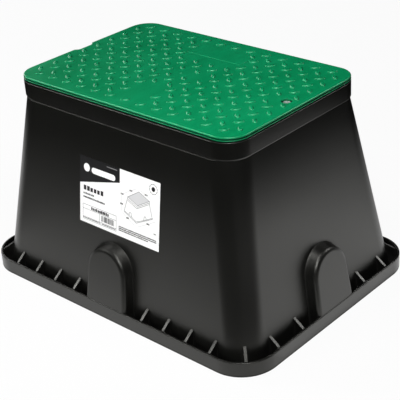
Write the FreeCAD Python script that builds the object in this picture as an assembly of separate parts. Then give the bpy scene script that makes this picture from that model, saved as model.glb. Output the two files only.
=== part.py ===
import FreeCAD, Part
import math
import os

# Rectangular irrigation valve box, in millimetres.
# +Z is up, X runs along the long side, and the origin is the centre of the base on the ground.
# The label is on the long wall that faces -Y. The lid bolts down at +X and has its pry notch at -X.

# Overall plan and heights
BASE_LENGTH = 540.0
BASE_WIDTH = 400.0
BASE_CORNER = 56.0
LEDGE_HEIGHT = 282.8
RIM_HEIGHT = 308.0

# Collar that carries the lid
COLLAR_LENGTH = 421.2
COLLAR_WIDTH = 284.0
COLLAR_CORNER = 37.0
COLLAR_WALL = 4.5
COLLAR_ROOT = 6.0
COLLAR_CHAMFER = 1.2
RIM_CHAMFER = 0.9

# Tapered walls: their plan at the ledge, against the collar's, and the radius of their slanted corners
NECK_STEP_IN_ENDS = 0.8
NECK_STEP_OUT_SIDES = 0.7
WALL_CORNER = 41.0
WALL = 3.5

# Gutter flange round the base
GUTTER_WIDTH = 11.4
FLANGE_FLOOR = 3.0
LIP_HEIGHT = 22.8
LIP_WALL = 4.0
LIP_CHAMFER = 0.8

# Gusset ribs that bridge the gutter
RIB_THICKNESS = 3.0
RIB_TOP_AT_WALL = 34.0
RIB_TOP_AT_LIP = 21.6
SIDE_RIB_OFFSETS = (70.1, 112.1, 154.5, 198.1)
END_RIB_OFFSETS = (74.3, 128.3)
DIAGONAL = 45.0

# Arched pipe entries, blind, one in the middle of each side
ENTRY_RADIUS = 38.0
ENTRY_SPRING_HEIGHT = 72.0
ENTRY_FOOT_SPREAD = 4.5
ENTRY_DRAFT = 2.0
ENTRY_SETBACK = 1.1
ENTRY_ROUNDING = 6.8
ENTRY_ROUNDING_STEPS = 3

# Lid plate and its edge, which stands in from the collar's
LID_MARGIN_ENDS = 0.6
LID_MARGIN_SIDES = 2.1
LID_CORNER = 33.0
LID_EDGE_HEIGHT = 5.8
LID_EDGE_ROUNDING = 2.0
LID_EDGE_STEPS = 2
LID_PLATE = 4.2
BEAD_PROUD = 0.6
BEAD_HEIGHT = 1.4
SEAT_HEIGHT = 2.0
SEAT_INSET = 0.8

# Locating skirt and ribs under the lid
SKIRT_CLEARANCE = 1.0
SKIRT_WALL = 3.0
SKIRT_DEPTH = 11.0
LID_RIB_DEPTH = 9.5
LID_RIB_THICKNESS = 2.6
LID_RIB_PITCH = 46.0

# Tread of short bars, laid in turn along the two diagonals
TREAD_PITCH_X = 29.6
TREAD_PITCH_Y = 29.5
TREAD_MARGIN = 12.0
BAR_LENGTH = 16.5
BAR_WIDTH = 6.2
BAR_HEIGHT = 1.3
BAR_CREST_SHARE = 0.55
BAR_SINK = 0.6

# Areas of the lid without bars: centre x, centre y, length and width
SMOOTH_AREAS = (
    (0.0, 76.0, 100.0, 38.0),
    (-15.0, 103.0, 70.0, 16.0),
    (0.0, -81.0, 44.0, 62.0),
    (15.0, 0.0, 50.0, 16.0),
)

# Pry notch in the lid's edge at the -X end
NOTCH_MOUTH = 40.0
NOTCH_BACK = 27.0
NOTCH_DEPTH = 7.4
NOTCH_OFFSET = -2.0

# Lock bolt with its washer and nut
BOLT_INSET = 23.6
BOLT_DIAMETER = 6.0
BOLT_LENGTH = 25.0
HEAD_ACROSS_FLATS = 10.0
HEAD_HEIGHT = 4.0
HEAD_CHAMFER = 0.6
HEAD_RECESS = 1.8
WASHER_DIAMETER = 12.0
WASHER_THICKNESS = 1.6
NUT_ACROSS_FLATS = 10.0
NUT_HEIGHT = 5.2
NUT_FLOOR = 4.6
THREAD_CLEARANCE = 0.05
SHANK_CLEARANCE = 0.4

# Counterbore and boss in the lid, and the lug in the body below them
COUNTERBORE_CLEARANCE = 1.6
BOSS_FLOOR = 4.0
BOSS_WALL = 3.4
LUG_CLEARANCE = 0.4
LUG_WIDTH = 32.0
LUG_REACH = 14.0
LUG_DEPTH = 19.0
LUG_GUSSET_DEPTH = 22.0
LUG_SIDE_CLEARANCE = 1.5
NUT_CLEARANCE = 0.1

# Label on the long wall that faces -Y: left edge, width, lower edge, height up the slope, paper
LABEL_LEFT = -69.5
LABEL_WIDTH = 157.8
LABEL_LOWER_Z = 126.8
LABEL_HEIGHT = 101.2
LABEL_THICKNESS = 0.25
LABEL_GLUE_GAP = 0.01

# Worked out from the sizes above
NECK_LENGTH = COLLAR_LENGTH - 2 * NECK_STEP_IN_ENDS
NECK_WIDTH = COLLAR_WIDTH + 2 * NECK_STEP_OUT_SIDES
FLANGE_WIDTH = GUTTER_WIDTH + LIP_WALL
END_WALL_SLOPE = (BASE_LENGTH / 2 - FLANGE_WIDTH - NECK_LENGTH / 2) / LEDGE_HEIGHT
SIDE_WALL_SLOPE = (BASE_WIDTH / 2 - FLANGE_WIDTH - NECK_WIDTH / 2) / LEDGE_HEIGHT
LID_LENGTH = COLLAR_LENGTH - 2 * LID_MARGIN_ENDS
LID_WIDTH = COLLAR_WIDTH - 2 * LID_MARGIN_SIDES
BOLT_X = COLLAR_LENGTH / 2 - BOLT_INSET
LID_UNDER_EDGE = RIM_HEIGHT + SEAT_HEIGHT
LID_TOP = LID_UNDER_EDGE + LID_EDGE_HEIGHT
LID_PLATE_UNDERSIDE = LID_TOP - LID_PLATE
SKIRT_FOOT = RIM_HEIGHT - SKIRT_DEPTH
SKIRT_INSET = COLLAR_WALL + SKIRT_CLEARANCE
HEAD_TOP = LID_TOP - HEAD_RECESS
HEAD_UNDERSIDE = HEAD_TOP - HEAD_HEIGHT
COUNTERBORE_FLOOR = HEAD_UNDERSIDE - WASHER_THICKNESS
COUNTERBORE_RADIUS = WASHER_DIAMETER / 2 + COUNTERBORE_CLEARANCE
BOSS_FOOT = COUNTERBORE_FLOOR - BOSS_FLOOR
BOSS_RADIUS = COUNTERBORE_RADIUS + BOSS_WALL
LUG_TOP = BOSS_FOOT - LUG_CLEARANCE
LUG_FOOT = LUG_TOP - LUG_DEPTH
NUT_FOOT = LUG_FOOT + NUT_FLOOR
BOLT_HOLE_RADIUS = BOLT_DIAMETER / 2 + SHANK_CLEARANCE
OVERSHOOT = 5.0
TOLERANCE = 0.01

Vector = FreeCAD.Vector
UP = Vector(0, 0, 1)


def rounded_outline(length, width, corner, z):
    """A closed wire: a rectangle with round corners, centred on the Z axis at height z."""
    x = length / 2
    y = width / 2
    cx = x - corner
    cy = y - corner
    diagonal = corner * math.sqrt(0.5)
    quadrants = ((1, 1), (-1, 1), (-1, -1), (1, -1))
    edges = []
    for index, (sx, sy) in enumerate(quadrants):
        along_y = Vector(sx * x, sy * cy, z)
        along_x = Vector(sx * cx, sy * y, z)
        middle = Vector(sx * (cx + diagonal), sy * (cy + diagonal), z)
        start, end = (along_y, along_x) if index % 2 == 0 else (along_x, along_y)
        edges.append(Part.Arc(start, middle, end).toShape())
        nx, ny = quadrants[(index + 1) % len(quadrants)]
        next_start = Vector(nx * cx, ny * y, z) if index % 2 == 0 else Vector(nx * x, ny * cy, z)
        edges.append(Part.LineSegment(end, next_start).toShape())
    return Part.Wire(edges)


def side_face(low_edge, high_edge):
    """The face between two matching edges: flat between straight ones, ruled between arcs."""
    if not isinstance(low_edge.Curve, Part.Line):
        return Part.makeRuledSurface(low_edge, high_edge)
    low_start, low_end = [vertex.Point for vertex in low_edge.Vertexes]
    high_start, high_end = [vertex.Point for vertex in high_edge.Vertexes]
    return Part.Face(Part.makePolygon([low_start, low_end, high_end, high_start, low_start]))


def ruled_solid(outlines):
    """The solid through a row of matching closed outlines, straight from each one to the next."""
    faces = [Part.Face(outlines[0]), Part.Face(outlines[-1])]
    for low, high in zip(outlines, outlines[1:]):
        faces.extend(side_face(*pair) for pair in zip(low.Edges, high.Edges))
    shell = Part.Shell(faces)
    shell.sewShape()
    solid = Part.Solid(shell)
    if solid.Volume < 0:
        solid.reverse()
    return solid


def slab(length, width, corner, low, high):
    """An upright block with round corners between two heights."""
    face = Part.Face(rounded_outline(length, width, corner, low))
    return face.extrude(UP * (high - low))


def polygon_prism(points, direction):
    """A flat polygon pushed along a direction."""
    return Part.Face(Part.makePolygon(points + [points[0]])).extrude(direction)


def hexagon_prism(across_flats, low, high, x):
    """A hexagon with its flats across the Y axis, standing on a vertical axis at x."""
    radius = across_flats / math.sqrt(3)
    points = []
    for side in range(6):
        angle = math.radians(60 * side)
        points.append(Vector(x + radius * math.cos(angle), radius * math.sin(angle), low))
    return polygon_prism(points, UP * (high - low))


def wall_section(z, inset):
    """The length and width of the tapered walls at a height, moved inwards by an inset."""
    drop = LEDGE_HEIGHT - z
    length = NECK_LENGTH + 2 * END_WALL_SLOPE * drop - 2 * inset
    width = NECK_WIDTH + 2 * SIDE_WALL_SLOPE * drop - 2 * inset
    return length, width


def wall_frustum(high, inset):
    """The solid inside the tapered walls from the ground up, its slanted corners rounded.

    Two trapezoid prisms, one seen from the side and one from the end, cross to make it."""
    foot_x, foot_y = [size / 2 for size in wall_section(0, inset)]
    top_x, top_y = [size / 2 for size in wall_section(high, inset)]
    side_view = [
        Vector(-foot_x, -foot_y, 0),
        Vector(foot_x, -foot_y, 0),
        Vector(top_x, -foot_y, high),
        Vector(-top_x, -foot_y, high),
    ]
    end_view = [
        Vector(-foot_x, -foot_y, 0),
        Vector(-foot_x, foot_y, 0),
        Vector(-foot_x, top_y, high),
        Vector(-foot_x, -top_y, high),
    ]
    across = polygon_prism(side_view, Vector(0, 2 * foot_y, 0))
    block = across.common(polygon_prism(end_view, Vector(2 * foot_x, 0, 0)))
    slanted = [edge for edge in block.Edges if edge.BoundBox.ZLength > high / 2]
    return block.makeFillet(WALL_CORNER - inset, slanted)


def base_slab(inset, low, high):
    """A block on the plan of the base, moved inwards by an inset."""
    return slab(BASE_LENGTH - 2 * inset, BASE_WIDTH - 2 * inset, BASE_CORNER - inset, low, high)


def lip_and_floor():
    """The gutter's floor and its upstanding lip, with a bevelled top edge."""
    block = base_slab(0, 0, LIP_HEIGHT)
    top_edges = [edge for edge in block.Edges if edge.BoundBox.ZMin > LIP_HEIGHT - TOLERANCE]
    block = block.makeChamfer(LIP_CHAMFER, top_edges)
    return block.cut(base_slab(LIP_WALL, FLANGE_FLOOR, LIP_HEIGHT + OVERSHOOT))


def collar():
    """The upright band under the lid, chamfered below so that it stands proud of the walls."""
    inset = COLLAR_CHAMFER
    foot = rounded_outline(
        COLLAR_LENGTH - 2 * inset, COLLAR_WIDTH - 2 * inset, COLLAR_CORNER - inset, LEDGE_HEIGHT
    )
    chamfer_top = LEDGE_HEIGHT + 2 * COLLAR_CHAMFER
    shoulder = rounded_outline(COLLAR_LENGTH, COLLAR_WIDTH, COLLAR_CORNER, chamfer_top)
    band = slab(COLLAR_LENGTH, COLLAR_WIDTH, COLLAR_CORNER, chamfer_top, RIM_HEIGHT)
    top_edges = [edge for edge in band.Edges if edge.BoundBox.ZMin > RIM_HEIGHT - TOLERANCE]
    band = band.makeChamfer(RIM_CHAMFER, top_edges)
    return band.fuse(ruled_solid([foot, shoulder]))


def collar_bore(low, high):
    """The space inside the collar."""
    return slab(
        COLLAR_LENGTH - 2 * COLLAR_WALL,
        COLLAR_WIDTH - 2 * COLLAR_WALL,
        COLLAR_CORNER - COLLAR_WALL,
        low,
        high,
    )


def turned(shape, angle):
    """A copy turned about the Z axis."""
    copy = shape.copy()
    copy.rotate(Vector(0, 0, 0), UP, angle)
    return copy


def gusset(wall_face, lip_inner):
    """One rib across the gutter, drawn outwards along +X from inside the wall to the lip.

    What reaches inside the wall goes when the chamber is cut."""
    inside = wall_face - WALL - OVERSHOOT - GUTTER_WIDTH
    lip_middle = lip_inner + LIP_WALL / 2
    half = RIB_THICKNESS / 2
    low = FLANGE_FLOOR / 2
    points = [
        Vector(inside, -half, low),
        Vector(lip_middle, -half, low),
        Vector(lip_middle, -half, RIB_TOP_AT_LIP),
        Vector(lip_inner, -half, RIB_TOP_AT_LIP),
        Vector(wall_face, -half, RIB_TOP_AT_WALL),
        Vector(inside, -half, RIB_TOP_AT_WALL),
    ]
    return polygon_prism(points, Vector(0, RIB_THICKNESS, 0))


def gutter_ribs():
    """All the gusset ribs, on the ends, on the long sides and in the corners, kept inside the lip."""
    length, width = wall_section(RIB_TOP_AT_WALL, 0)
    ribs = []
    for offset in END_RIB_OFFSETS:
        rib = gusset(length / 2, BASE_LENGTH / 2 - LIP_WALL)
        for side in (-1, 1):
            placed = rib.copy()
            placed.translate(Vector(0, side * offset, 0))
            ribs.append(placed)
            ribs.append(turned(placed, 180))
    for offset in SIDE_RIB_OFFSETS:
        rib = gusset(width / 2, BASE_WIDTH / 2 - LIP_WALL)
        for side in (-1, 1):
            placed = rib.copy()
            placed.translate(Vector(0, side * offset, 0))
            ribs.append(turned(placed, 90))
            ribs.append(turned(placed, -90))
    ribs.extend(corner_ribs(length, width))
    limit = base_slab(LIP_WALL / 2, 0, RIB_TOP_AT_WALL + OVERSHOOT)
    return [rib.common(limit) for rib in ribs]


def corner_ribs(length, width):
    """One diagonal rib in each corner, on the line through the lip's corner centre."""
    centre = Vector(BASE_LENGTH / 2 - BASE_CORNER, BASE_WIDTH / 2 - BASE_CORNER, 0)
    dx = length / 2 - WALL_CORNER - centre.x
    dy = width / 2 - WALL_CORNER - centre.y
    wall_face = (dx + dy) * math.sqrt(0.5) + WALL_CORNER
    rib = gusset(wall_face, BASE_CORNER - LIP_WALL)
    ribs = []
    for sx, sy, angle in ((1, 1, DIAGONAL), (-1, 1, 180 - DIAGONAL)):
        for flip in (1, -1):
            placed = turned(rib, angle * flip)
            placed.translate(Vector(sx * centre.x, sy * flip * centre.y, 0))
            ribs.append(placed)
    return ribs


def arch_wire(radius, foot, height, reach, slope):
    """An arch on two spreading legs, in a plane that leans back with the wall.

    reach is how far out the plane lies at the ground, and slope is how far it leans in per height."""

    def at(x, z):
        return Vector(x, -(reach - slope * z), z)

    left_foot = at(-foot, 0)
    left_spring = at(-radius, height)
    crown = at(0, height + radius)
    right_spring = at(radius, height)
    right_foot = at(foot, 0)
    return Part.Wire(
        [
            Part.LineSegment(left_foot, left_spring).toShape(),
            Part.Arc(left_spring, crown, right_spring).toShape(),
            Part.LineSegment(right_spring, right_foot).toShape(),
            Part.LineSegment(right_foot, left_foot).toShape(),
        ]
    )


def rounding(radius, steps):
    """How far each section of a rounded edge lies in from the side and back from the front."""
    pairs = []
    for step in range(steps + 1):
        angle = math.pi / 2 * step / steps
        pairs.append((radius * (1 - math.sin(angle)), radius * (1 - math.cos(angle))))
    return pairs


def arch_block(inset, front, back, slope, edge):
    """The bulge of a pipe entry between two leaning planes; inset makes the hollow inside it.

    edge lists the sections of its rounded front edge."""
    depth = front - back
    sections = list(edge) + [(-ENTRY_DRAFT, depth)]
    wires = []
    for side_in, setback in sections:
        radius = ENTRY_RADIUS - inset - side_in
        foot = radius + ENTRY_FOOT_SPREAD
        wires.append(arch_wire(radius, foot, ENTRY_SPRING_HEIGHT, front - setback, slope))
    return ruled_solid(wires)


def pipe_entry(base_width, wall_reach, slope):
    """One pipe entry towards -Y: its outer bulge and its hollow."""
    front = base_width / 2 - ENTRY_SETBACK + slope * LIP_HEIGHT
    middle_of_wall = wall_reach - WALL / 2
    deep_inside = wall_reach - WALL - OVERSHOOT
    round_edge = rounding(ENTRY_ROUNDING, ENTRY_ROUNDING_STEPS)
    outer = arch_block(0, front, middle_of_wall, slope, round_edge)
    hollow = arch_block(WALL, front - WALL, deep_inside, slope, [(0, 0)])
    return outer, hollow


def pipe_entries():
    """The four bulges and the four hollows, each kept inside the plan of the base."""
    length, width = wall_section(0, 0)
    side_outer, side_hollow = pipe_entry(BASE_WIDTH, width / 2, SIDE_WALL_SLOPE)
    end_outer, end_hollow = pipe_entry(BASE_LENGTH, length / 2, END_WALL_SLOPE)
    outers = [side_outer, turned(side_outer, 180), turned(end_outer, 90), turned(end_outer, -90)]
    hollows = [side_hollow, turned(side_hollow, 180), turned(end_hollow, 90), turned(end_hollow, -90)]
    full_height = ENTRY_SPRING_HEIGHT + ENTRY_RADIUS + OVERSHOOT
    outer_limit = base_slab(0, 0, full_height)
    hollow_limit = base_slab(LIP_WALL, 0, full_height)
    return [o.common(outer_limit) for o in outers], [h.common(hollow_limit) for h in hollows]


def bolt_lug():
    """The lug inside the collar that the lid bolts to, with a gusset down the end wall."""
    half = LUG_WIDTH / 2
    inner = BOLT_X - LUG_REACH
    collar_middle = (COLLAR_LENGTH - COLLAR_WALL) / 2
    gusset_foot = LUG_FOOT - LUG_GUSSET_DEPTH
    wall_at_foot = wall_section(gusset_foot, WALL / 2)[0] / 2
    points = [
        Vector(collar_middle, -half, LUG_TOP),
        Vector(inner, -half, LUG_TOP),
        Vector(inner, -half, LUG_FOOT),
        Vector(wall_at_foot, -half, gusset_foot),
        Vector(collar_middle, -half, LEDGE_HEIGHT),
    ]
    lug = polygon_prism(points, Vector(0, LUG_WIDTH, 0))
    bolt_hole = Part.makeCylinder(
        BOLT_HOLE_RADIUS,
        LUG_DEPTH + LUG_GUSSET_DEPTH + 2 * OVERSHOOT,
        Vector(BOLT_X, 0, gusset_foot - OVERSHOOT),
    )
    return lug.cut(bolt_hole).cut(nut_pocket())


def nut_pocket():
    """The hexagonal seat of the nut and the slot that lets it slide in from the middle of the box."""
    flats = NUT_ACROSS_FLATS + 2 * NUT_CLEARANCE
    top = NUT_FOOT + NUT_HEIGHT + NUT_CLEARANCE
    seat = hexagon_prism(flats, NUT_FOOT, top, BOLT_X)
    slot = Part.makeBox(
        LUG_REACH + OVERSHOOT,
        flats,
        top - NUT_FOOT,
        Vector(BOLT_X - LUG_REACH - OVERSHOOT, -flats / 2, NUT_FOOT),
    )
    return seat.fuse(slot)


def box_body():
    """The body as one moulding: walls, collar, gutter flange, ribs, pipe entries and bolt lug."""
    bulges, hollows = pipe_entries()
    outside = wall_frustum(LEDGE_HEIGHT, 0)
    shell = outside.multiFuse([lip_and_floor(), collar()] + gutter_ribs() + bulges)
    chamber_top = LEDGE_HEIGHT - COLLAR_ROOT
    chamber = wall_frustum(chamber_top, WALL)
    shell = shell.cut(chamber)
    shell = shell.cut(collar_bore(chamber_top, RIM_HEIGHT + OVERSHOOT))
    for hollow in hollows:
        shell = shell.cut(hollow)
    return shell.fuse(bolt_lug()).removeSplitter()


def tread_bar():
    """One raised bar of the tread, a long diamond with sloping sides, lying along +X."""
    outlines = []
    for share, z in ((1, LID_TOP - BAR_SINK), (BAR_CREST_SHARE, LID_TOP + BAR_HEIGHT)):
        x = share * BAR_LENGTH / 2
        y = share * BAR_WIDTH / 2
        corners = [Vector(x, 0, z), Vector(0, y, z), Vector(-x, 0, z), Vector(0, -y, z)]
        outlines.append(Part.makePolygon(corners + [corners[0]]))
    return ruled_solid(outlines)


def in_area(x, y, area):
    """Whether a bar centred here would lie in an area that stays smooth."""
    centre_x, centre_y, length, width = area
    return abs(x - centre_x) < length / 2 and abs(y - centre_y) < width / 2


def tread_places():
    """Centre and direction of each bar, left out in the smooth areas and at the bolt hole."""
    half_x = TREAD_PITCH_X / 2
    half_y = TREAD_PITCH_Y / 2
    columns = int((LID_LENGTH / 2 - TREAD_MARGIN) // half_x)
    rows = int((LID_WIDTH / 2 - TREAD_MARGIN) // half_y)
    places = []
    for column in range(-columns, columns + 1):
        for row in range(-rows, rows + 1):
            if (column + row) % 2:
                continue
            x = column * half_x
            y = row * half_y
            angle = -DIAGONAL if column % 2 else DIAGONAL
            clear_of_bolt = math.hypot(x - BOLT_X, y) > COUNTERBORE_RADIUS + BAR_WIDTH
            smooth = any(in_area(x, y, area) for area in SMOOTH_AREAS)
            if clear_of_bolt and not smooth:
                places.append((x, y, angle))
    return places


def tread():
    """All the bars as one group of separate solids."""
    bar = tread_bar()
    bars = []
    for x, y, angle in tread_places():
        placed = turned(bar, angle)
        placed.translate(Vector(x, y, 0))
        bars.append(placed)
    return bars


def inside_skirt(inset, low, high):
    """A block inside the collar, moved in from the collar's outline by an inset."""
    return slab(
        COLLAR_LENGTH - 2 * inset, COLLAR_WIDTH - 2 * inset, COLLAR_CORNER - inset, low, high
    )


def lid_plate():
    """The tread plate with its edge, the bead below the edge and the band that rests on the rim."""
    outlines = [rounded_outline(LID_LENGTH, LID_WIDTH, LID_CORNER, LID_UNDER_EDGE)]
    for side_in, down in reversed(rounding(LID_EDGE_ROUNDING, LID_EDGE_STEPS)):
        outlines.append(
            rounded_outline(
                LID_LENGTH - 2 * side_in, LID_WIDTH - 2 * side_in, LID_CORNER - side_in, LID_TOP - down
            )
        )
    edge = ruled_solid(outlines)
    bead = slab(
        LID_LENGTH + 2 * BEAD_PROUD,
        LID_WIDTH + 2 * BEAD_PROUD,
        LID_CORNER + BEAD_PROUD,
        LID_UNDER_EDGE,
        LID_UNDER_EDGE + BEAD_HEIGHT,
    )
    seat = slab(
        LID_LENGTH - 2 * SEAT_INSET,
        LID_WIDTH - 2 * SEAT_INSET,
        LID_CORNER - SEAT_INSET,
        RIM_HEIGHT,
        LID_UNDER_EDGE,
    )
    return edge.multiFuse([bead, seat])


def lid_ribs():
    """The grid of stiffening ribs under the plate, inside the skirt."""
    half = LID_RIB_THICKNESS / 2
    low = LID_PLATE_UNDERSIDE - LID_RIB_DEPTH
    height = LID_RIB_DEPTH + LID_PLATE / 2
    span_x = COLLAR_LENGTH - 2 * SKIRT_INSET - SKIRT_WALL
    span_y = COLLAR_WIDTH - 2 * SKIRT_INSET - SKIRT_WALL
    ribs = []
    across = int((span_x / 2 - SKIRT_WALL) // LID_RIB_PITCH)
    for step in range(-across, across + 1):
        x = step * LID_RIB_PITCH
        ribs.append(Part.makeBox(2 * half, span_y, height, Vector(x - half, -span_y / 2, low)))
    along = int((span_y / 2 - SKIRT_WALL) // LID_RIB_PITCH)
    for step in range(-along, along + 1):
        y = step * LID_RIB_PITCH
        ribs.append(Part.makeBox(span_x, 2 * half, height, Vector(-span_x / 2, y - half, low)))
    return ribs


def lug_space():
    """The room that the lid's skirt and ribs leave for the body's lug."""
    inner = BOLT_X - LUG_REACH - LUG_SIDE_CLEARANCE
    width = LUG_WIDTH + 2 * LUG_SIDE_CLEARANCE
    return Part.makeBox(
        COLLAR_LENGTH / 2 - inner,
        width,
        BOSS_FOOT - SKIRT_FOOT + OVERSHOOT,
        Vector(inner, -width / 2, SKIRT_FOOT - OVERSHOOT),
    )


def skirt_gap():
    """The gap in the skirt behind the pry notch, where a tool reaches under the plate."""
    outer_x = LID_LENGTH / 2
    inner_x = COLLAR_LENGTH / 2 - SKIRT_INSET - SKIRT_WALL - SKIRT_CLEARANCE
    low = SKIRT_FOOT - OVERSHOOT
    return Part.makeBox(
        outer_x - inner_x,
        NOTCH_MOUTH,
        LID_PLATE_UNDERSIDE - low,
        Vector(-outer_x, NOTCH_OFFSET - NOTCH_MOUTH / 2, low),
    )


def pry_notch():
    """The notch in the lid's edge, wider at its mouth."""
    edge_x = -LID_LENGTH / 2
    back_x = edge_x + NOTCH_DEPTH
    mouth_x = edge_x - OVERSHOOT
    flare = (NOTCH_MOUTH - NOTCH_BACK) / 2 / NOTCH_DEPTH
    mouth = NOTCH_MOUTH / 2 + OVERSHOOT * flare
    back = NOTCH_BACK / 2
    points = [
        Vector(mouth_x, NOTCH_OFFSET - mouth, SKIRT_FOOT - OVERSHOOT),
        Vector(back_x, NOTCH_OFFSET - back, SKIRT_FOOT - OVERSHOOT),
        Vector(back_x, NOTCH_OFFSET + back, SKIRT_FOOT - OVERSHOOT),
        Vector(mouth_x, NOTCH_OFFSET + mouth, SKIRT_FOOT - OVERSHOOT),
    ]
    return polygon_prism(points, UP * (LID_TOP - SKIRT_FOOT + 2 * OVERSHOOT))


def lid():
    """The lid as one moulding, with its tread, skirt, ribs, bolt boss and pry notch."""
    skirt = inside_skirt(SKIRT_INSET, SKIRT_FOOT, LID_UNDER_EDGE)
    core_inset = SKIRT_INSET + SKIRT_WALL
    core = inside_skirt(core_inset, SKIRT_FOOT - OVERSHOOT, LID_PLATE_UNDERSIDE)
    plate = lid_plate().fuse(skirt).cut(core)
    boss = Part.makeCylinder(BOSS_RADIUS, LID_TOP - LID_PLATE / 2 - BOSS_FOOT, Vector(BOLT_X, 0, BOSS_FOOT))
    plate = plate.multiFuse(lid_ribs() + [boss])
    plate = plate.cut(lug_space())
    plate = plate.cut(
        Part.makeCylinder(COUNTERBORE_RADIUS, LID_TOP, Vector(BOLT_X, 0, COUNTERBORE_FLOOR))
    )
    plate = plate.cut(Part.makeCylinder(BOLT_HOLE_RADIUS, LID_TOP, Vector(BOLT_X, 0, SKIRT_FOOT)))
    plate = plate.cut(pry_notch()).cut(skirt_gap())
    return plate.multiFuse(tread()).removeSplitter()


def lock_bolt():
    """The hex bolt, its head chamfered, its plain shank standing for the thread."""
    head = hexagon_prism(HEAD_ACROSS_FLATS, HEAD_UNDERSIDE, HEAD_TOP, BOLT_X)
    corner_radius = HEAD_ACROSS_FLATS / math.sqrt(3)
    flat_radius = HEAD_ACROSS_FLATS / 2
    cone = Part.makeCone(
        flat_radius + HEAD_HEIGHT / HEAD_CHAMFER * (corner_radius - flat_radius),
        flat_radius,
        HEAD_HEIGHT,
        Vector(BOLT_X, 0, HEAD_UNDERSIDE),
    )
    shank = Part.makeCylinder(
        BOLT_DIAMETER / 2, BOLT_LENGTH, Vector(BOLT_X, 0, HEAD_UNDERSIDE - BOLT_LENGTH)
    )
    tip_height = HEAD_UNDERSIDE - BOLT_LENGTH
    tip = [edge for edge in shank.Edges if edge.BoundBox.ZMax < tip_height + TOLERANCE]
    return head.common(cone).fuse(shank.makeChamfer(HEAD_CHAMFER, tip)).removeSplitter()


def bolt_washer():
    """The plain washer between the bolt's head and the counterbore's floor."""
    seat = Vector(BOLT_X, 0, COUNTERBORE_FLOOR)
    ring = Part.makeCylinder(WASHER_DIAMETER / 2, WASHER_THICKNESS, seat)
    return ring.cut(Part.makeCylinder(BOLT_DIAMETER / 2 + THREAD_CLEARANCE, WASHER_THICKNESS, seat))


def lock_nut():
    """The nut that sits in the lug's pocket."""
    nut = hexagon_prism(NUT_ACROSS_FLATS, NUT_FOOT, NUT_FOOT + NUT_HEIGHT, BOLT_X)
    bore = Part.makeCylinder(
        BOLT_DIAMETER / 2 + THREAD_CLEARANCE, NUT_HEIGHT, Vector(BOLT_X, 0, NUT_FOOT)
    )
    return nut.cut(bore)


def label():
    """The label, laid flat on the leaning wall that faces -Y."""
    wall_y = -wall_section(LABEL_LOWER_Z, 0)[1] / 2
    lean = math.degrees(math.atan(SIDE_WALL_SLOPE))
    sheet = Part.makeBox(
        LABEL_WIDTH,
        LABEL_THICKNESS,
        LABEL_HEIGHT,
        Vector(0, -LABEL_THICKNESS - LABEL_GLUE_GAP, 0),
    )
    sheet.rotate(Vector(0, 0, 0), Vector(1, 0, 0), -lean)
    sheet.translate(Vector(LABEL_LEFT, wall_y, LABEL_LOWER_Z))
    return sheet


def main():
    os.makedirs("parts", exist_ok=True)
    pieces = {
        "box_body": box_body(),
        "lid": lid(),
        "lock_bolt": lock_bolt(),
        "bolt_washer": bolt_washer(),
        "lock_nut": lock_nut(),
        "label": label(),
    }
    for name, shape in pieces.items():
        print(name, shape.ShapeType, len(shape.Solids), "solids", shape.isValid(), round(shape.Volume))
        shape.exportStep("parts/" + name + ".step")


main()
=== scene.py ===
import bpy
import bmesh
import math
import random
from mathutils import Matrix, Vector


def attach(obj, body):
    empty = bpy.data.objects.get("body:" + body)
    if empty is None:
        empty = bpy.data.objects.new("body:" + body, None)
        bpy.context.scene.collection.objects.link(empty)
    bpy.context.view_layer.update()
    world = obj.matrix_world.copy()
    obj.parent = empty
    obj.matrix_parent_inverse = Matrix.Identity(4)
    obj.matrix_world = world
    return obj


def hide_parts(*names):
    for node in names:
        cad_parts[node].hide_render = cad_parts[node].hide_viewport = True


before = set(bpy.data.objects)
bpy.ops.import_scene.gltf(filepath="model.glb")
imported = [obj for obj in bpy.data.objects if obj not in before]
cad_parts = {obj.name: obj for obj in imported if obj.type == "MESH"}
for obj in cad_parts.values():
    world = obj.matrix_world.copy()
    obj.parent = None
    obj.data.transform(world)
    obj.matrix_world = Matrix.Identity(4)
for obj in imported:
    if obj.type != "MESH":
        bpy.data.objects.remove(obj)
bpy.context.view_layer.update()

# Camera, from the lines of the photograph
CAMERA_FOCAL_PX = 1092.0
CAMERA_AZIMUTH = 43.36
CAMERA_ELEVATION = 27.99
CAMERA_ROLL = -3.884
CAMERA_DISTANCE = 1.6482
CAMERA_ASIDE = -0.01429
CAMERA_UP = 0.03694
CAMERA_TARGET = Vector((0, 0, 0.150))
SENSOR = 36.0
IMAGE_PX = 400.0

# Studio, in metres: a floor, and round it what only the gloss sees. A range gives the heights between which
# a cloth turns from clear to black; where it starts below the floor, a card on the floor is part dark.
FLOOR_HALF = 6.0
FLOOR_DROP = 0.0005
FLOOR_GREY = (0.85, 0.85, 0.85)
FLOOR_WHITE_SHARE = 0.93
ROOM_HALF = 3.2
ROOM_HEIGHT = 3.4
ROOM_LEVEL = 0.22
ROOM_RANGE = (-2.0, -1.0)
CLOTH_X = 0.30
CLOTH_Y = 0.23
CLOTH_FAR = 1.1
CLOTH_TOP = 0.33
CLOTH_LONG_RANGE = (0.0, 0.22)
CLOTH_SHORT_RANGE = (0.14, 0.24)
FRONT_CARD = ((0.16, -0.28), (-0.45, -1.45), (1.4, -1.45), (1.5, 0.62), (0.36, -0.1), (0.34, -0.24))
FRONT_CARD_RANGE = (-0.86, 0.14)
FRONT_CARD_LIFT = 0.002
HALF_CARDS = (
    ((-0.36, -0.26), (-0.62, -0.26), (-1.7, -0.6), (-1.7, -1.7), (-0.75, -1.7)),
    ((0.50, 0.36), (1.7, 0.70), (1.7, 1.8), (0.50, 1.8)),
)
HALF_CARDS_RANGE = (-1.0, 1.0)
HALF_CARDS_LIFT = 0.003
SIDE_BOARD = ((0.276, -0.12), (1.7, -0.3), (1.7, 1.8), (0.276, 1.8))
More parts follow.
